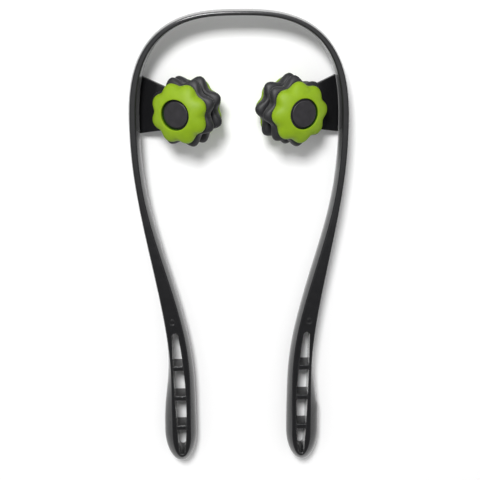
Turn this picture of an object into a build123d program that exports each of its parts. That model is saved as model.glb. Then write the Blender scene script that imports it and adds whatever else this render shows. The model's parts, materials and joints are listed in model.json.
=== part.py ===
# Neck massager worked by hand: a flexible moulded bow with two grips, and on a plate inside each
# arm a roller of two knobbed wheels and two domed covers that turns freely on its own axle.
#
# The bow is drawn flat in its own frame: x across, y from the grip ends to the loop, z from the
# bow's mid-plane to its front face. Everything is then laid on a table, as it rests there: on the
# grip ends and on the back covers of both rollers. +Y points at the loop, +Z up.
from build123d import *
from math import asin, atan2, cos, degrees, pi, radians, sin, sqrt, tan
import os

# Bow, in its own frame
bow_length = 405.0  # grip ends to the crown of the loop
bow_width = 181.0  # over the front edges of the arms, at their widest
bow_depth = 23.0  # front face to back face
widest_y = 308.0  # where the arms are widest apart
loop_squareness = 2.75  # exponent of the loop's superellipse
crown_face = 3.4  # width of the front face at the crown
arm_face = 4.8  # and at the widest point
crown_swell = 0.5  # how far the sides bulge at mid-depth, at the crown
arm_swell_outside = 1.6  # and at the widest point
arm_swell_inside = 2.5
edge_round = 1.2  # rounding of the front and back edges

# Grips, the lower ends of the arms
grip_offset = 53.9  # centre plane to the middle of a grip's front face
grip_face = 16.0  # width of that face
grip_swell_outside = 7.6
grip_swell_inside = 5.2
grip_round_y = 30.0  # where the rounded end begins
face_end_y = 8.0  # where the front face ends
arm_bend_end_y = 80.0  # where the arm has come in to the grip
face_widens_y = 262.0  # the front face widens from here
face_wide_y = 88.0  # down to here
outer_swell_starts_y = 112.0
inner_swell_starts_y = 150.0
swell_full_y = 36.0

# Ladder slot through each grip
slot_top_y = 128.0
slot_end_y = 10.6
slot_top_width = 5.6
slot_width = 9.0
slot_end_width = 5.4
slot_widest_y = 44.0
slot_end_round = 2.0
slot_bevel = 0.5
cut_overrun = 0.3  # cuts run this far past the faces that they open
rib_thickness = 4.2
rib_pitch = 28.9
lowest_rib_y = 36.6
rib_count = 3
rib_front_step = 0.7  # ribs stop this far behind the front face
rib_depth = 17.5

# Ejector-pin marks
pin_mark_radius = 2.7
pin_mark_groove = 0.5
pin_mark_depth = 0.25
pin_mark_y = 139.0

# Rollers and the plates that carry them
roller_reach = 45.1  # across, from the middle of the arm to the roller's centre
roller_y = 324.5
roller_tilt = 25.0  # the front ends lean apart
plate_dip = 0.76  # the plate's middle would meet the arm's middle this far behind the back face
plate_thickness = 3.2
plate_root_height = 51.0  # along y, at the arm
plate_root_rise = 2.4  # middle of the root above the roller's centre
plate_nose_radius = 14.0
plate_bevel = 0.5
boss_radius = 8.5
boss_length = 8.4
bush_outer_radius = 5.5

# Axle, washers and screws
axle_radius = 4.5
running_clearance = 0.05
seat_clearance = 0.02
hex_across_flats = 7.0
axle_end_gap = 0.6  # cover floor stands proud of the axle's end, so that the screw clamps it
washer_thickness = 0.6
washer_radius = 7.5
side_play = 0.05
screw_hole_radius = 2.0
screw_hole_depth = 8.5
screw_length = 8.0
screw_head_radius = 3.6
screw_head_height = 2.2
screw_socket_across = 2.5
screw_socket_depth = 1.3

# Wheels and covers
lobe_count = 8
crest_overrun = 0.6  # the lobed prisms stand this far outside the turned shapes that round them
wheel_thickness = 9.8
wheel_plate_gap = 0.5  # plate's face to wheel's face
wheel_crest_radius = 29.6
wheel_valley_radius = 24.0
wheel_knob_bulge = 4.2
wheel_recess_clearance = 1.0  # round the plate's boss
core_inner_radius = 9.5
core_outer_radius = 18.5
core_floor = 3.0
cover_height = 10.5
cover_crest_radius = 25.3
cover_valley_radius = 22.5
cover_dome_radius = 16.0
cover_edge_height = 3.1  # where the dome meets the rounded edge
cover_edge_tuck = 0.7  # the cover is this much smaller where it sits on the wheel
cover_floor = 3.1
cover_rim_width = 1.1  # flat ring round the cap's recess
cap_recess_radius = 12.6
cap_recess_depth = 4.6
screw_pocket_radius = 6.5
pocket_wall = 2.2
pocket_outer_radius = 20.2
pocket_roof = 4.9

# Hub caps
cap_fit = 0.1
cap_face_radius = 11.2
cap_flange = 1.2
cap_thickness = 2.8
cap_round = 0.5
cap_sunk = {"left": 1.7, "right": 0.2}  # how far each roller's caps are pressed in

sides = {"left": -1, "right": 1}
phases = {"left": 20.4, "right": 3.3}  # how each roller happens to be turned

roller_offset = bow_width / 2 - arm_face / 2 - roller_reach
roller_height = roller_reach * tan(radians(roller_tilt)) - plate_dip - bow_depth / 2
boss_half = boss_length / 2
wheel_inner = plate_thickness / 2 + wheel_plate_gap
wheel_outer = wheel_inner + wheel_thickness
journal_half = boss_half + washer_thickness + 2 * side_play
cover_top = wheel_outer + cover_height
floor_top = wheel_outer + cover_floor
axle_half = floor_top - axle_end_gap
recess_floor = cover_top - cap_recess_depth


def smooth(t):
    """Eases from 0 to 1 with level ends."""
    t = min(max(t, 0.0), 1.0)
    return t * t * (3 - 2 * t)


# ---- bow ----

def edge_point(s):
    """Outer edge of the right arm's front face: s from 0 at the crown to 1 at the widest point,
    and on to 2 where the grip's rounded end begins."""
    half = bow_width / 2
    if s <= 1:
        turn = pi / 2 * (1 - s)
        power = 2 / loop_squareness
        return (half * cos(turn) ** power, widest_y + (bow_length - widest_y) * sin(turn) ** power)
    y = widest_y - (s - 1) * (widest_y - grip_round_y)
    come_in = half - (grip_offset + grip_face / 2)
    return (half - come_in * smooth((widest_y - y) / (widest_y - arm_bend_end_y)), y)


def inward(s):
    """Unit vector across the arm, from its outer edge to its inner edge."""
    if s == 0:
        return (0.0, -1.0)
    if s in (1, 2):
        return (-1.0, 0.0)
    step = 0.01
    x0, y0 = edge_point(s - step)
    x1, y1 = edge_point(s + step)
    run = sqrt((x1 - x0) ** 2 + (y1 - y0) ** 2)
    return ((y1 - y0) / run, (x0 - x1) / run)


def face_width(s):
    """Width of the front face."""
    if s <= 1:
        return crown_face + (arm_face - crown_face) * smooth(s)
    y = edge_point(s)[1]
    return arm_face + (grip_face - arm_face) * smooth((face_widens_y - y) / (face_widens_y - face_wide_y))


def swells(s):
    """How far the outer and the inner side bulge at mid-depth."""
    if s <= 1:
        ease = smooth(s)
        outside = crown_swell + (arm_swell_outside - crown_swell) * ease
        inside = crown_swell + (arm_swell_inside - crown_swell) * ease
        return outside, inside
    y = edge_point(s)[1]
    outer_ease = smooth((outer_swell_starts_y - y) / (outer_swell_starts_y - swell_full_y))
    inner_ease = smooth((inner_swell_starts_y - y) / (inner_swell_starts_y - swell_full_y))
    outside = arm_swell_outside + (grip_swell_outside - arm_swell_outside) * outer_ease
    inside = arm_swell_inside + (grip_swell_inside - arm_swell_inside) * inner_ease
    return outside, inside


def bow_section(z, swollen, end_y):
    """The bow's outline at one depth: both edges as curves, joined round the grip ends."""
    stations = [i / 6 for i in range(7)] + [1 + i / 10 for i in range(1, 11)]
    outer = []
    inner = []
    for s in stations:
        x, y = edge_point(s)
        nx, ny = inward(s)
        outside, inside = swells(s) if swollen else (0.0, 0.0)
        across = face_width(s) + inside
        outer.append((x - nx * outside, y - ny * outside))
        inner.append((x + nx * across, y + ny * across))
    outer_path = [(-x, y) for x, y in outer[:0:-1]] + outer
    inner_path = [(-x, y) for x, y in inner[:0:-1]] + inner
    outer_x, round_y = outer[-1]
    inner_x = inner[-1][0]
    middle = (outer_x + inner_x) / 2
    half = (outer_x - inner_x) / 2
    with BuildSketch(Plane.XY.offset(z)) as sketch:
        with BuildLine():
            Spline(*outer_path, tangents=[(0, 1), (0, -1)])
            EllipticalCenterArc((middle, round_y), half, round_y - end_y, 180, arc_size=180)
            Spline(*inner_path, tangents=[(0, 1), (0, -1)])
            EllipticalCenterArc((-middle, round_y), half, round_y - end_y, 180, arc_size=180)
        make_face()
    return sketch.sketch.face()


def bow_body():
    """Crowned sides: lofted from the back face over the wider mid-depth to the front face."""
    half = bow_depth / 2
    sections = [bow_section(-half, False, face_end_y), bow_section(0, True, 0), bow_section(half, False, face_end_y)]
    body = loft(sections)
    rims = body.edges().filter_by(lambda e: abs(abs(e.center().Z) - half) < 0.01)
    return fillet(rims, edge_round)


def grip_middle(y):
    """Middle of the right grip's front face at height y."""
    s = 1 + (widest_y - y) / (widest_y - grip_round_y)
    x, edge_y = edge_point(min(s, 2))
    return x - face_width(min(s, 2)) / 2


def slot_face(margin):
    """Outline of the right grip's slot: narrow at the top, widest at the lowest rib."""
    middles = [grip_middle(y) for y in (slot_top_y, slot_widest_y, slot_end_y)]
    widths = (slot_top_width, slot_width, slot_end_width)
    top_round = slot_top_width / 2
    lean = (middles[0] - middles[1]) / (slot_top_y - slot_widest_y)
    top_middle = middles[0] - lean * top_round
    levels = (slot_top_y - top_round, slot_widest_y, slot_end_y + slot_end_round)
    outer = []
    inner = []
    for middle, width, y in zip((top_middle, *middles[1:]), widths, levels):
        outer.append((middle + width / 2 + margin, y))
        inner.append((middle - width / 2 - margin, y))
    with BuildSketch() as sketch:
        with BuildLine():
            ThreePointArc(outer[0], (middles[0], slot_top_y + margin), inner[0])
            Spline(*inner)
            ThreePointArc(inner[-1], (middles[-1], slot_end_y - margin), outer[-1])
            Spline(*outer)
        make_face()
    return sketch.sketch.face()


def ladder_slot():
    """The right grip's slot, right through the bow, less its ribs."""
    slot = extrude(slot_face(0), bow_depth / 2 + cut_overrun, both=True)
    for i in range(rib_count):
        y = lowest_rib_y + i * rib_pitch
        middle_z = bow_depth / 2 - rib_front_step - rib_depth / 2
        slot -= Pos(grip_middle(y), y, middle_z) * Box(4 * slot_width, rib_thickness, rib_depth)
    return slot


def slot_mouth():
    """Bevel round the front mouth of the right grip's slot, run on past both of its edges."""
    outside = Pos(0, 0, bow_depth / 2 + cut_overrun) * slot_face(slot_bevel + cut_overrun)
    inside = Pos(0, 0, bow_depth / 2 - slot_bevel - cut_overrun) * slot_face(-cut_overrun)
    return loft([outside, inside], ruled=True)


def pin_mark():
    """Shallow ring that an ejector pin leaves on the right arm's front face, above the slot."""
    ring = Cylinder(pin_mark_radius, pin_mark_depth) - Cylinder(pin_mark_radius - pin_mark_groove, pin_mark_depth)
    return Pos(grip_middle(pin_mark_y), pin_mark_y, (bow_depth - pin_mark_depth) / 2) * ring


def roller_frame(side):
    """Where a roller sits on the bow: z along its axle, towards the front."""
    return Pos(side * roller_offset, roller_y, roller_height) * Rot(0, side * roller_tilt, 0)


def arm_middle(y):
    """Middle of the right arm's front face at height y, from the widest point to the crown."""
    rise = max(y - widest_y, 0.0) / (bow_length - widest_y)
    outer_edge = bow_width / 2 * (1 - rise ** loop_squareness) ** (1 / loop_squareness)
    return outer_edge - arm_face / 2


def roller_plate(side):
    """Plate from the arm to the axle, square to the axle, with a boss for the bush."""
    root = []
    for y in (plate_root_rise + plate_root_height / 2, plate_root_rise - plate_root_height / 2):
        reach = (arm_middle(roller_y + y) - roller_offset) / cos(radians(roller_tilt))
        root.append((side * reach, y))
    nose_top = (side * 0.3 * plate_nose_radius, plate_nose_radius * 0.954)
    nose_low = (side * 0.12 * plate_nose_radius, -plate_nose_radius * 0.993)
    web = make_face(Polyline(root[0], nose_top, (0, 0), nose_low, root[1], close=True))
    outline = web + Circle(plate_nose_radius)
    plate = extrude(outline, plate_thickness / 2, both=True)
    rims = plate.edges().filter_by(lambda e: abs(abs(e.center().Z) - plate_thickness / 2) < 0.01)
    plate = chamfer(rims, plate_bevel)
    plate = roller_frame(side) * plate
    keep = Pos(0, bow_length / 2, bow_depth) * Box(2 * bow_width, 2 * bow_length, 3 * bow_depth)
    boss = roller_frame(side) * Cylinder(boss_radius, boss_length)
    return (plate & keep) + boss


def bow_frame():
    """The whole moulding: bow, slots, pin marks, and both plates with their bores."""
    bow = bow_body()
    for cut in (ladder_slot(), slot_mouth(), mirror(slot_mouth(), Plane.XY), pin_mark()):
        bow -= cut
        bow -= mirror(cut, Plane.YZ)
    for side in sides.values():
        bow += roller_plate(side)
        bow -= roller_frame(side) * Cylinder(bush_outer_radius, 2 * boss_length)
    return bow


# ---- rollers, each drawn about its own axle, front half up ----

def hexagon(across):
    """Regular hexagon by its width across flats."""
    return RegularPolygon(across / 2, 6, major_radius=False)


def lobed_outline(crest, valley, phase):
    """Closed wavy curve through every crest and every valley."""
    points = []
    for i in range(2 * lobe_count):
        radius = crest if i % 2 == 0 else valley
        turn = radians(phase + i * 180 / lobe_count)
        points.append((radius * cos(turn), radius * sin(turn)))
    return make_face(Spline(*points, periodic=True))


def bush():
    """Sleeve bearing pressed into the plate's boss."""
    outside = Cylinder(bush_outer_radius - seat_clearance, boss_length)
    return outside - Cylinder(axle_radius + running_clearance, boss_length)


def axle():
    """Round journal in the bush, six-sided ends that drive the wheels, and a screw hole each end."""
    ends = extrude(hexagon(hex_across_flats), axle_half, both=True)
    body = ends + Cylinder(axle_radius, 2 * journal_half)
    hole = Cylinder(screw_hole_radius, screw_hole_depth)
    centre = axle_half - screw_hole_depth / 2
    return body - Pos(0, 0, centre) * hole - Pos(0, 0, -centre) * hole


def hex_bore(length):
    """Hole that fits over the axle's six-sided end."""
    return extrude(hexagon(hex_across_flats + 2 * running_clearance), length)


def washer():
    """Thrust washer between the plate's boss and the wheel."""
    ring = Cylinder(washer_radius, washer_thickness) - Cylinder(axle_radius + running_clearance, washer_thickness)
    return Pos(0, 0, boss_half + side_play + washer_thickness / 2) * ring


def wheel(phase):
    """Knobbed wheel: a lobed prism rounded to a barrel, recessed over the boss and cored out."""
    face = wheel_crest_radius - wheel_knob_bulge
    middle = (wheel_inner + wheel_outer) / 2
    with BuildSketch(Plane.XZ) as sketch:
        with BuildLine():
            Polyline((face, wheel_outer), (0, wheel_outer), (0, wheel_inner), (face, wheel_inner))
            ThreePointArc((face, wheel_inner), (wheel_crest_radius, middle), (face, wheel_outer))
        make_face()
    barrel = revolve(sketch.sketch, Axis.Z)
    outline = lobed_outline(wheel_crest_radius + crest_overrun, wheel_valley_radius, phase)
    prism = extrude(outline, 2 * wheel_outer)
    body = barrel & prism
    recess_depth = journal_half - wheel_inner
    recess = Cylinder(boss_radius + wheel_recess_clearance, recess_depth)
    body -= Pos(0, 0, wheel_inner + recess_depth / 2) * recess
    core_depth = wheel_thickness - core_floor
    core = Cylinder(core_outer_radius, core_depth) - Cylinder(core_inner_radius, core_depth)
    body -= Pos(0, 0, wheel_outer - core_depth / 2) * core
    return body - hex_bore(2 * wheel_outer)


def dome_centre():
    """Centre of the dome's arc, as radius and height, from its two ends."""
    r0 = cap_recess_radius + cover_rim_width
    z0 = cover_top
    r1 = cover_crest_radius
    z1 = wheel_outer + cover_edge_height
    chord = sqrt((r1 - r0) ** 2 + (z1 - z0) ** 2)
    back = sqrt(cover_dome_radius ** 2 - chord ** 2 / 4)
    return (r0 + r1) / 2 + back * (z1 - z0) / chord, (z0 + z1) / 2 - back * (r1 - r0) / chord


def cover(phase):
    """Domed cover: lobed like the wheel, cored beneath, with a recess for the cap and the screw."""
    rim = (cap_recess_radius + cover_rim_width, cover_top)
    edge = (cover_crest_radius, wheel_outer + cover_edge_height)
    foot = (cover_crest_radius - cover_edge_tuck, wheel_outer)
    centre_r, centre_z = dome_centre()
    turn = (atan2(rim[1] - centre_z, rim[0] - centre_r) + atan2(edge[1] - centre_z, edge[0] - centre_r)) / 2
    crest = (centre_r + cover_dome_radius * cos(turn), centre_z + cover_dome_radius * sin(turn))
    with BuildSketch(Plane.XZ) as sketch:
        with BuildLine():
            Polyline(edge, foot, (0, wheel_outer), (0, cover_top), rim)
            ThreePointArc(rim, crest, edge)
        make_face()
    dome = revolve(sketch.sketch, Axis.Z)
    outline = lobed_outline(cover_crest_radius + crest_overrun, cover_valley_radius, phase)
    prism = extrude(outline, 2 * cover_top)
    body = dome & prism
    body -= Pos(0, 0, cover_top - cap_recess_depth / 2) * Cylinder(cap_recess_radius, cap_recess_depth)
    pocket_depth = recess_floor - floor_top
    body -= Pos(0, 0, floor_top + pocket_depth / 2) * Cylinder(screw_pocket_radius, pocket_depth)
    pocket = Cylinder(pocket_outer_radius, pocket_roof) - Cylinder(cap_recess_radius + pocket_wall, pocket_roof)
    body -= Pos(0, 0, wheel_outer + pocket_roof / 2) * pocket
    return body - hex_bore(2 * cover_top)


def hub_cap(sunk):
    """Round cap held in the cover's recess by its flange."""
    top = cover_top - sunk
    flange = Pos(0, 0, top - cap_thickness + cap_flange / 2) * Cylinder(cap_recess_radius - cap_fit, cap_flange)
    disc = Pos(0, 0, top - cap_thickness / 2) * Cylinder(cap_face_radius, cap_thickness)
    disc = fillet(disc.edges().group_by(Axis.Z)[-1], cap_round)
    return flange + disc


def screw():
    """Pan-head screw that clamps the cover's floor to the wheel and the axle."""
    head = Pos(0, 0, floor_top + screw_head_height / 2) * Cylinder(screw_head_radius, screw_head_height)
    head = fillet(head.edges().group_by(Axis.Z)[-1], screw_head_height / 3)
    shank_radius = screw_hole_radius - running_clearance
    shank = Pos(0, 0, floor_top - screw_length / 2) * Cylinder(shank_radius, screw_length)
    socket = extrude(hexagon(screw_socket_across), screw_socket_depth)
    return head + shank - Pos(0, 0, floor_top + screw_head_height - screw_socket_depth) * socket


def roller(name, side):
    """Every piece on one axle, placed on the bow, by node name."""
    phase = phases[name]
    halves = {
        "washer": washer(),
        "wheel": wheel(phase),
        "cover": cover(phase),
        "hub_cap": hub_cap(cap_sunk[name]),
        "screw": screw(),
    }
    pieces = {f"{name}_bush": bush(), f"{name}_axle": axle()}
    for piece, solid in halves.items():
        pieces[f"{name}_front_{piece}"] = solid
        pieces[f"{name}_back_{piece}"] = mirror(solid, Plane.XY)
    return {node: roller_frame(side) * solid for node, solid in pieces.items()}


# ---- how the massager lies on a table ----

def roller_drop():
    """How far the back covers reach below the bow's mid-plane."""
    tilt = radians(roller_tilt)
    centre_r, centre_z = dome_centre()
    return centre_z * cos(tilt) + centre_r * sin(tilt) + cover_dome_radius - roller_height


def resting_place():
    """The bow's frame on the table: loop end raised until grips and rollers touch, centred."""
    rise = roller_drop() - bow_depth / 2
    pitch = asin(rise / (roller_y - face_end_y - edge_round))
    middle_y = (bow_length + crown_swell) / 2
    height = bow_depth / 2 + middle_y * sin(pitch) - (face_end_y + edge_round) * sin(pitch)
    return Pos(0, 0, height) * Rot(degrees(pitch), 0, 0) * Pos(0, -middle_y, 0)


def massager():
    """All the pieces at rest on the table, by node name."""
    pieces = {"bow_frame": bow_frame()}
    for name, side in sides.items():
        pieces.update(roller(name, side))
    place = resting_place()
    return {node: place * solid for node, solid in pieces.items()}


if __name__ == "__main__":
    os.makedirs("parts", exist_ok=True)
    for node, solid in massager().items():
        export_step(solid, f"parts/{node}.step")
        print(node, round(solid.volume), "mm3")
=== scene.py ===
import json
import math
import bmesh
import bpy
from mathutils import Matrix, Vector


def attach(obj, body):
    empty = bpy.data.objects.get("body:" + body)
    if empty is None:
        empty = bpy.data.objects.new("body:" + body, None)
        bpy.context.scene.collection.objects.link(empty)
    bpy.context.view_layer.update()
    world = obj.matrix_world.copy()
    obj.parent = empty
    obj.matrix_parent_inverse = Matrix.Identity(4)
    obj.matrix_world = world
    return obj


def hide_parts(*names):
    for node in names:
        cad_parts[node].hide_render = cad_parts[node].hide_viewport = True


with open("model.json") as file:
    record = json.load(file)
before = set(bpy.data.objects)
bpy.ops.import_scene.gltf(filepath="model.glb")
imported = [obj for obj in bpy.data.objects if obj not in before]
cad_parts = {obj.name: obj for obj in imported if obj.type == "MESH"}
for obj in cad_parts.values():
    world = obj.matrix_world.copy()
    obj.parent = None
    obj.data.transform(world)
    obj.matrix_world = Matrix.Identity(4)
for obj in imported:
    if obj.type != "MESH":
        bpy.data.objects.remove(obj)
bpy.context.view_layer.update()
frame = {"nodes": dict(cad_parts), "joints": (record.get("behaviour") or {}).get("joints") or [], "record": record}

mm = 0.001
full = 2 * math.pi
lookSamples = 8          # rays that a shader sends to find edges and gaps


# ---- shader maths ----

class Wire:
    # one output of a node; sums and products of wires add Math nodes
    def __init__(self, tree, socket=None):
        self.tree = tree
        self.socket = socket

    def add(self, kind, settings=None, inputs=None, output=0):
        made = self.tree.nodes.new(kind)
        for name, value in (settings or {}).items():
            if name == "stops":
                ramp = made.color_ramp
                while len(ramp.elements) < len(value):
                    ramp.elements.new(0.5)
                for element, (place, colour) in zip(ramp.elements, value):
                    element.position = place
                    element.color = colour
            else:
                setattr(made, name, value)
        for name, value in (inputs or {}).items():
            if isinstance(value, Wire):
                self.tree.links.new(value.socket, made.inputs[name])
            else:
                made.inputs[name].default_value = value
        return Wire(self.tree, made.outputs[output])

    def maths(self, operation, first, second):
        return self.add("ShaderNodeMath", {"operation": operation}, {0: first, 1: second})

    def __add__(self, other):
        return self.maths("ADD", self, other)

    def __sub__(self, other):
        return self.maths("SUBTRACT", self, other)

    def __rsub__(self, other):
        return self.maths("SUBTRACT", other, self)

    def __mul__(self, other):
        return self.maths("MULTIPLY", self, other)

    def __truediv__(self, other):
        return self.maths("DIVIDE", self, other)

    def along(self, arrow, axis):
        # how far an arrow goes in one direction
        return self.add("ShaderNodeVectorMath", {"operation": "DOT_PRODUCT"}, {0: arrow, 1: axis}, "Value")

    def rise(self, value, low, high):
        # 0 below low, 1 above high, and soft between them
        soft = {"interpolation_type": "SMOOTHSTEP"}
        return self.add("ShaderNodeMapRange", soft, {"Value": value, "From Min": low, "From Max": high})

    def stretched(self, place, scale):
        return self.add("ShaderNodeVectorMath", {"operation": "MULTIPLY"}, {0: place, 1: scale})

    def noise(self, place, size, detail=2.0, roughness=0.5):
        # cloudy noise from 0 to 1; size is that of its blotches in metres
        inputs = {"Vector": place, "Scale": 1 / size, "Detail": detail, "Roughness": roughness}
        return self.add("ShaderNodeTexNoise", {}, inputs)

    def between(self, value, low, high):
        # value from 0 to 1, stretched from low to high
        return value * (high - low) + low

    def openness(self, reach, shares):
        # 0 deep in a gap, 1 on an open face, a mask for painted shade; shares of the sky that each of the two sees
        seen = self.add("ShaderNodeAmbientOcclusion", {"samples": lookSamples}, {"Distance": reach}, "AO")
        return self.rise(seen, *shares)

    def bumped(self, height, under=None):
        # the normal after relief of this height in metres, on top of another normal if there is one
        inputs = {"Strength": 1.0, "Distance": 1.0, "Height": height}
        if under:
            inputs["Normal"] = under
        return self.add("ShaderNodeBump", {}, inputs)

    def mixed(self, share, first, second):
        # the Mix node's colour sockets are the last of each kind
        return self.add("ShaderNodeMix", {"data_type": "RGBA"}, {0: share, 6: first, 7: second}, 2)


def newFinish(name):
    # an empty material: its shader node, and a wire to hang nodes on
    finish = bpy.data.materials.new(name)
    finish.use_nodes = True
    tree = finish.node_tree
    shader = tree.nodes["Principled BSDF"]
    return finish, shader, Wire(tree)


def plug(wire, shader, socket):
    wire.tree.links.new(wire.socket, shader.inputs[socket])


def colour(r, g, b):
    return (r, g, b, 1.0)


def grey(shade):
    return colour(shade, shade, shade)


# ---- finishes ----

bowFinish = {
    "dark": colour(0.0070, 0.0070, 0.0078),
    "light": colour(0.0115, 0.0115, 0.0127),
    "cloud": 14 * mm,
    "bloom": 5.6 * mm,             # patches of more and less gloss
    "bloomFine": 0.6,
    "roughLow": 0.13,
    "roughHigh": 0.26,
    "ior": 1.58,
    "haze": 0.22,                  # the pale bloom of a fine texture, seen edge on
    "hazeRough": 0.35,
    "edge": 1.1 * mm,              # how far in the edges look eased
    "grain": 0.55 * mm,
    "grainDepth": 0.010 * mm,
    "wave": 9 * mm,
    "waveDepth": 0.05 * mm,
    "drag": 2.2 * mm,              # marks along the flanks, the way the mould opened
    "dragStretch": (1.0, 1.0, 0.06),
    "dragDepth": 0.010 * mm,
}


def makeBowBlack():
    # moulded glossy black: slow ripples from the mould, fine grain, faint cloudy sheen
    v = bowFinish
    finish, shader, w = newFinish("bowBlack")
    place = w.add("ShaderNodeTexCoord", output="Object")
    cloud = w.noise(place, v["cloud"], 3)
    plug(w.mixed(cloud, v["dark"], v["light"]), shader, "Base Color")
    bloom = w.noise(place, v["bloom"], 4, v["bloomFine"])
    plug(w.between(bloom, v["roughLow"], v["roughHigh"]), shader, "Roughness")
    grain = w.noise(place, v["grain"], 2) * v["grainDepth"]
    wave = w.noise(place, v["wave"], 1) * v["waveDepth"]
    drag = w.noise(w.stretched(place, v["dragStretch"]), v["drag"], 2) * v["dragDepth"]
    eased = w.add("ShaderNodeBevel", {"samples": lookSamples}, {"Radius": v["edge"]})
    plug(w.bumped(grain + wave + drag, eased), shader, "Normal")
    shader.inputs["IOR"].default_value = v["ior"]
    shader.inputs["Sheen Weight"].default_value = v["haze"]
    shader.inputs["Sheen Roughness"].default_value = v["hazeRough"]
    return finish


wheelFinish = {
    # painted shade: the colour that the occlusion mask below mixes into gaps and creases
    "gapShade": colour(0.0035, 0.0035, 0.004),
    "dark": colour(0.008, 0.008, 0.009),
    "light": colour(0.015, 0.015, 0.017),
    "reach": 5 * mm,               # how near another face shades a gap
    "seen": (0.15, 0.75),          # shares of the sky that a gap and an open face see
    "cloud": 7 * mm,
    "roughLow": 0.50,
    "roughHigh": 0.62,
    "ior": 1.5,
    "grain": 0.35 * mm,
    "grainDepth": 0.02 * mm,
}


def makeWheelBlack():
    # soft black with a fine spark-eroded grain, and painted shade that darkens the gaps where nearby faces hide
    # the sky
    v = wheelFinish
    finish, shader, w = newFinish("wheelBlack")
    place = w.add("ShaderNodeTexCoord", output="Object")
    cloud = w.noise(place, v["cloud"], 3)
    # painted shade: near 0 where nearby faces hide the sky, and there the base colour turns to the painted gap
    # shade
    clear = w.openness(v["reach"], v["seen"])
    plug(w.mixed(clear, v["gapShade"], w.mixed(cloud, v["dark"], v["light"])), shader, "Base Color")
    plug(w.between(cloud, v["roughLow"], v["roughHigh"]), shader, "Roughness")
    grain = w.noise(place, v["grain"], 3) * v["grainDepth"]
    plug(w.bumped(grain), shader, "Normal")
    shader.inputs["IOR"].default_value = v["ior"]
    return finish


coverFinish = {
    # painted shade: the colour that the occlusion mask below mixes into the hub's recess and other gaps
    "gapShade": colour(0.012, 0.055, 0.002),
    "deep": colour(0.176, 0.302, 0.0004),
    "bright": colour(0.238, 0.372, 0.0008),
    "reach": 4 * mm,
    "seen": (0.30, 0.80),
    "cloud": 6 * mm,
    "roughLow": 0.50,
    "roughHigh": 0.60,
    "ior": 1.42,
    "grain": 0.4 * mm,
    "grainDepth": 0.012 * mm,
}


def makeCoverGreen():
    # satin green, a little uneven where the mould filled, with painted shade darker down in the hub's recess and
    # other gaps
    v = coverFinish
    finish, shader, w = newFinish("coverGreen")
    place = w.add("ShaderNodeTexCoord", output="Object")
    cloud = w.noise(place, v["cloud"], 3)
    # painted shade: near 0 where nearby faces hide the sky, and there the green turns to the painted gap shade
    clear = w.openness(v["reach"], v["seen"])
    plug(w.mixed(clear, v["gapShade"], w.mixed(cloud, v["deep"], v["bright"])), shader, "Base Color")
    plug(w.between(cloud, v["roughLow"], v["roughHigh"]), shader, "Roughness")
    grain = w.noise(place, v["grain"], 3) * v["grainDepth"]
    plug(w.bumped(grain), shader, "Normal")
    shader.inputs["IOR"].default_value = v["ior"]
    return finish


capFinish = {
    "dark": colour(0.010, 0.010, 0.011),
    "light": colour(0.032, 0.029, 0.034),
    "cloud": 5 * mm,
    "roughLow": 0.30,
    "roughHigh": 0.46,
    "grain": 0.28 * mm,
    "grainDepth": 0.025 * mm,
}


def makeCapBlack():
    # harder satin black than the wheels, with a fine leather-like grain
    v = capFinish
    finish, shader, w = newFinish("capBlack")
    place = w.add("ShaderNodeTexCoord", output="Object")
    cloud = w.noise(place, v["cloud"], 3)
    plug(w.mixed(cloud, v["dark"], v["light"]), shader, "Base Color")
    plug(w.between(cloud, v["roughLow"], v["roughHigh"]), shader, "Roughness")
    grain = w.noise(place, v["grain"], 2) * v["grainDepth"]
    plug(w.bumped(grain), shader, "Normal")
    return finish


acetalFinish = {
    "base": colour(0.74, 0.73, 0.69),
    "shade": colour(0.68, 0.67, 0.62),
    "cloud": 3 * mm,
    "roughLow": 0.35,
    "roughHigh": 0.50,
}


def makeAcetal():
    # natural white acetal of the bushes and washers
    v = acetalFinish
    finish, shader, w = newFinish("acetalWhite")
    place = w.add("ShaderNodeTexCoord", output="Object")
    cloud = w.noise(place, v["cloud"], 3)
    plug(w.mixed(cloud, v["base"], v["shade"]), shader, "Base Color")
    plug(w.between(cloud, v["roughLow"], v["roughHigh"]), shader, "Roughness")
    return finish


steelFinish = {
    "base": colour(0.58, 0.58, 0.60),
    "shade": colour(0.46, 0.46, 0.47),
    "cloud": 2 * mm,
    "roughLow": 0.24,
    "roughHigh": 0.40,
    "marks": 0.3 * mm,
    "markDepth": 0.01 * mm,
}


def makeSteel():
    # zinc-plated steel of the axles and screws
    v = steelFinish
    finish, shader, w = newFinish("zincSteel")
    place = w.add("ShaderNodeTexCoord", output="Object")
    cloud = w.noise(place, v["cloud"], 4)
    plug(w.mixed(cloud, v["base"], v["shade"]), shader, "Base Color")
    plug(w.between(cloud, v["roughLow"], v["roughHigh"]), shader, "Roughness")
    plug(w.bumped(w.noise(place, v["marks"], 1) * v["markDepth"]), shader, "Normal")
    shader.inputs["Metallic"].default_value = 1.0
    return finish


finishes = {
    "bow_black": makeBowBlack(),
    "wheel_black": makeWheelBlack(),
    "cover_green": makeCoverGreen(),
    "cap_black": makeCapBlack(),
    "acetal_white": makeAcetal(),
    "steel": makeSteel(),
}
slotOf = {part["node"]: part["material_slot"] for part in frame["record"]["subparts"]}
for node, piece in frame["nodes"].items():
    piece.data.materials.clear()
    piece.data.materials.append(finishes[slotOf[node]])
print("finishes made:", ", ".join(finishes))


# ---- hand tools ----

def deselectAll():
    if bpy.context.object and bpy.context.object.mode != "OBJECT":
        bpy.ops.object.mode_set(mode="OBJECT")
    bpy.ops.object.select_all(action="DESELECT")


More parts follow.
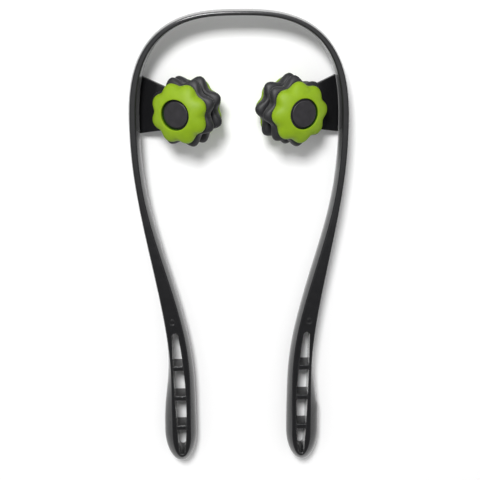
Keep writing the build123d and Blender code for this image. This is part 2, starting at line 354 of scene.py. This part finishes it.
def selectPoints(piece, chosen):
    # in edit mode, selects the points whose numbers are in chosen and nothing else
    mesh = bmesh.from_edit_mesh(piece.data)
    for point in mesh.verts:
        point.select = point.index in chosen
    mesh.select_flush_mode()
    bmesh.update_edit_mesh(piece.data)


def selectedPoints(piece):
    mesh = bmesh.from_edit_mesh(piece.data)
    mesh.verts.index_update()
    return {point.index: point.co.copy() for point in mesh.verts if point.select}


pointsPerLobe = 4        # crest, shoulder, valley, shoulder


def pulledRings(name, lobes, rings, levels, bored=True):
    # a closed turned shell with lobes: one ring of points is pulled up from the other, and the last
    # is joined to the first, or both are filled where nothing goes through the middle.
    # rings: height, then radius on a lobe, on its shoulder and in a valley
    deselectAll()
    bpy.ops.mesh.primitive_circle_add(
        vertices=pointsPerLobe * lobes, radius=1, fill_type="NOTHING", location=(0, 0, 0))
    piece = bpy.context.object
    piece.name = name
    bpy.ops.object.mode_set(mode="EDIT")
    bpy.context.tool_settings.mesh_select_mode = (True, False, False)
    bpy.ops.mesh.select_all(action="SELECT")
    lastHeight = 0.0
    lastRadii = (1.0, 1.0, 1.0)
    for number, (height, *radii) in enumerate(rings):
        if number:
            bpy.ops.mesh.extrude_edges_move()
        bpy.ops.transform.translate(value=(0, 0, height - lastHeight))
        ring = selectedPoints(piece)
        turnOf = {
            point: round(math.atan2(co.y, co.x) / full * pointsPerLobe * lobes) % pointsPerLobe
            for point, co in ring.items()
        }
        for turns, radius, lastRadius in zip(((0,), (1, 3), (2,)), radii, lastRadii):
            selectPoints(piece, {point for point, turn in turnOf.items() if turn in turns})
            grow = radius / lastRadius
            bpy.ops.transform.resize(value=(grow, grow, 1), center_override=(0, 0, height))
        selectPoints(piece, set(ring))
        lastHeight = height
        lastRadii = radii
    bpy.ops.mesh.select_all(action="DESELECT")
    bpy.ops.mesh.select_non_manifold()
    if bored:
        bpy.ops.mesh.bridge_edge_loops()
    else:
        bpy.ops.mesh.fill_holes(sides=0)
    bpy.ops.mesh.select_all(action="SELECT")
    bpy.ops.mesh.normals_make_consistent(inside=False)
    bpy.ops.object.mode_set(mode="OBJECT")
    rounding = piece.modifiers.new("rounding", "SUBSURF")
    rounding.levels = levels
    rounding.render_levels = levels
    bpy.ops.object.modifier_apply(modifier=rounding.name)
    bpy.ops.object.shade_smooth()
    return piece


def plain(height, radius):
    # a ring without lobes
    return (height * mm, radius * mm, radius * mm, radius * mm)


def wavy(height, lobe, shoulder, valley):
    return (height * mm, lobe * mm, shoulder * mm, valley * mm)


def placedCopy(piece, name, place, finish, body, node):
    # a copy with its own mesh, its place in the mesh, that stands for one CAD node
    copy = piece.copy()
    copy.data = piece.data.copy()
    copy.name = name
    bpy.context.scene.collection.objects.link(copy)
    copy.data.transform(place)
    copy.data.materials.clear()
    copy.data.materials.append(finish)
    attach(copy, body)
    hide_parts(node)
    return copy


# ---- rollers ----

rollers = {
    "lobes": 8,
    "phase": {"left": math.radians(20.4), "right": math.radians(3.3)},
    "coverTop": 22.4 * mm,
    "capSunk": {"left": 1.6 * mm, "right": 0.2 * mm},
    "levels": 3,
}

# heights are above the roller's middle plane
wheelRings = [
    plain(2.2, 12), plain(2.2, 17), wavy(2.2, 21.8, 21.2, 20.4), wavy(2.25, 24.6, 23.4, 21.6),
    wavy(3.0, 27.6, 25.8, 22.3), wavy(4.8, 30.1, 27.3, 22.4), wavy(7.0, 31.2, 27.8, 22.4),
    wavy(9.2, 30.1, 27.3, 22.4), wavy(11.0, 27.6, 25.8, 22.3), wavy(11.75, 24.6, 23.4, 21.6),
    wavy(11.8, 21.8, 21.2, 20.4), plain(11.8, 17), plain(11.8, 12),
]
coverRings = [
    plain(12.0, 14), plain(12.0, 19), wavy(12.0, 22.8, 22.3, 20.6), wavy(12.1, 24.6, 23.9, 21.4),
    wavy(13.0, 25.7, 24.6, 21.7), wavy(14.6, 26.1, 24.9, 21.6), wavy(16.8, 25.1, 24.1, 20.9),
    wavy(18.8, 22.6, 21.9, 20.0), wavy(20.4, 19.7, 19.3, 18.3), wavy(21.6, 16.7, 16.5, 16.1),
    plain(22.3, 14.3), plain(22.4, 13.25), plain(22.3, 12.8), plain(21.9, 12.66),
    plain(18.2, 12.66), plain(17.9, 12.5), plain(17.8, 11.5), plain(17.8, 8.0), plain(17.8, 6.6),
    plain(17.4, 6.5), plain(15.2, 6.5), plain(15.0, 5.0), plain(13.2, 5.0), plain(13.0, 13.8),
]
# from the cap's top down
capRings = [
    plain(-2.8, 6.0), plain(-2.8, 11.6), plain(-2.75, 12.1), plain(-2.4, 12.2), plain(-2.1, 12.1),
    plain(-2.0, 11.5), plain(-1.9, 11.0), plain(-1.4, 10.9), plain(-0.7, 10.9), plain(-0.25, 10.8),
    plain(-0.04, 10.4), plain(0.0, 9.6), plain(0.0, 5.0),
]

wheelModel = pulledRings("wheelModel", rollers["lobes"], wheelRings, rollers["levels"])
coverModel = pulledRings("coverModel", rollers["lobes"], coverRings, rollers["levels"])
capModel = pulledRings("capModel", rollers["lobes"], capRings, rollers["levels"], bored=False)

for joint in frame["joints"]:
    side = joint["name"].split("_")[0]
    lean = Vector(joint["axis"])
    turn = Matrix.Rotation(math.atan2(-lean.y, lean.z), 4, "X") @ Matrix.Rotation(math.asin(lean.x), 4, "Y")
    hub = Matrix.Translation(Vector(joint["pos_m"])) @ turn
    phase = Matrix.Rotation(rollers["phase"][side], 4, "Z")
    capHeight = Matrix.Translation((0, 0, rollers["coverTop"] - rollers["capSunk"][side]))
    for half, flip in (("front", Matrix.Identity(4)), ("back", Matrix.Rotation(math.pi, 4, "X"))):
        for kind, model, slot, lift in (
            ("wheel", wheelModel, "wheel_black", Matrix.Identity(4)),
            ("cover", coverModel, "cover_green", Matrix.Identity(4)),
            ("hub_cap", capModel, "cap_black", capHeight),
        ):
            node = side + "_" + half + "_" + kind
            place = hub @ flip @ phase @ lift
            placedCopy(model, node + "_shape", place, finishes[slot], joint["child"], node)
for model in (wheelModel, coverModel, capModel):
    bpy.data.objects.remove(model)
print("rollers modelled")


# ---- floor, light and camera ----

studio = {
    "floorSize": 30.0,
    "floorShade": 0.94,
    "floorFleck": 0.95,            # the paper's paler flecks, and their size
    "fleckSize": 20 * mm,
    "farGlow": 0.55,               # a glow that keeps the floor white where the lamp hardly reaches
    "farReach": (0.5, 2.2),        # how far out it sets in, in metres
    "worldLight": 0.50,
    "keyPlace": Vector((-0.31, 1.15, 1.80)),
    "keySize": 0.50,
    "keyPower": 40.0,
    "softbox": 0.8,                # how bright it is in what gloss shows
    "boxAcross": (0.45, 0.65),     # its edge from the middle, as slopes from straight up
    "boxNear": (-0.34, -0.20),     # towards the grips
    "boxFar": (0.50, 0.70),        # towards the loop
    "levelGuard": 0.001,           # keeps slopes finite near the horizon
    "wallLight": 3.4,              # a lit screen behind the loop, also only in what gloss shows
    "wallRise": (0.42, 0.78),
    "wallFoot": (0.35, 0.62),      # the screen hangs clear of the table
}


# what gloss shows of the room, by height: the table's far end, then walls, then the ceiling
roomShades = [
    (0.00, grey(1.0)), (0.10, grey(0.9)), (0.38, grey(0.30)),
    (0.70, grey(0.30)), (0.85, grey(0.10)), (1.00, grey(0.10)),
]


def makeFloor():
    v = studio
    deselectAll()
    bpy.ops.mesh.primitive_plane_add(size=v["floorSize"], location=(0, 0, 0))
    floor = bpy.context.object
    floor.name = "studioFloor"
    finish, shader, w = newFinish("studioWhite")
    place = w.add("ShaderNodeTexCoord", output="Object")
    paper = w.noise(place, v["fleckSize"], 2)
    plug(w.mixed(paper, grey(v["floorShade"]), grey(v["floorFleck"])), shader, "Base Color")
    shader.inputs["Roughness"].default_value = 1.0
    shader.inputs["Specular IOR Level"].default_value = 0.0
    away = w.add("ShaderNodeVectorMath", {"operation": "LENGTH"}, {0: place}, "Value")
    far = w.rise(away, *v["farReach"])
    plug(w.mixed(far, grey(0.0), grey(v["farGlow"])), shader, "Emission Color")
    shader.inputs["Emission Strength"].default_value = 1.0
    floor.data.materials.append(finish)
    return floor


def makeWorld():
    # plain white for the eye and an even light on the object; gloss shows a softbox overhead, a lit
    # screen behind the loop, the dim room round them and the white table's far end
    v = studio
    world = bpy.data.worlds.new("studioWorld")
    bpy.context.scene.world = world
    world.use_nodes = True
    tree = world.node_tree
    w = Wire(tree)
    direct = w.add("ShaderNodeLightPath", output="Is Camera Ray")
    through = w.add("ShaderNodeLightPath", output="Is Transmission Ray")
    seen = w.maths("MAXIMUM", direct, through)
    glossy = w.add("ShaderNodeLightPath", output="Is Glossy Ray")
    arrow = w.add("ShaderNodeTexCoord", output="Generated")
    up = w.maths("MAXIMUM", w.along(arrow, (0, 0, 1)), v["levelGuard"])
    across = w.maths("ABSOLUTE", w.along(arrow, (1, 0, 0)), 0.0) / up
    forward = w.along(arrow, (0, 1, 0))
    onward = forward / up
    wide = 1 - w.rise(across, *v["boxAcross"])
    deep = w.rise(onward, *v["boxNear"]) * (1 - w.rise(onward, *v["boxFar"]))
    box = wide * deep
    room = w.add("ShaderNodeValToRGB", {"stops": roomShades}, {"Fac": up})
    wall = w.rise(forward, *v["wallRise"]) * w.rise(up, *v["wallFoot"])
    shown = box * v["softbox"] + wall * v["wallLight"] + room
    strength = seen + (1 - seen) * (glossy * shown + (1 - glossy) * v["worldLight"])
    background = tree.nodes["Background"]
    background.inputs["Color"].default_value = grey(1.0)
    tree.links.new(strength.socket, background.inputs["Strength"])


def facing(place, target):
    # turns a lamp or camera at place to look at target, upright
    away = (place - target).normalized()
    return Matrix.Rotation(-math.atan2(away.y, away.z), 4, "X") @ Matrix.Rotation(math.asin(away.x), 4, "Y")


def makeKey():
    # a softbox past the loop, a little to the left
    v = studio
    bpy.ops.object.light_add(type="AREA", location=v["keyPlace"])
    key = bpy.context.object
    key.name = "keyLight"
    key.data.shape = "SQUARE"
    key.data.size = v["keySize"]
    key.data.energy = v["keyPower"]
    key.rotation_euler = facing(v["keyPlace"], Vector((0, 0, 0))).to_euler()


view = {
    "place": Vector((-0.012, 0.262, 0.912)),
    "target": Vector((0.0, 0.007, 0.0154)),
    "roll": math.radians(-0.65),
    "lens": 80.9,
    "sensor": 36.0,
}


def makeCamera():
    v = view
    bpy.ops.object.camera_add(location=v["place"])
    camera = bpy.context.object
    camera.name = "mainCamera"
    camera.rotation_euler = (facing(v["place"], v["target"]) @ Matrix.Rotation(v["roll"], 4, "Z")).to_euler()
    camera.data.lens = v["lens"]
    camera.data.sensor_width = v["sensor"]
    bpy.context.scene.camera = camera


makeFloor()
makeWorld()
makeKey()
makeCamera()
bpy.context.scene.view_settings.view_transform = "Standard"
print("studio set")
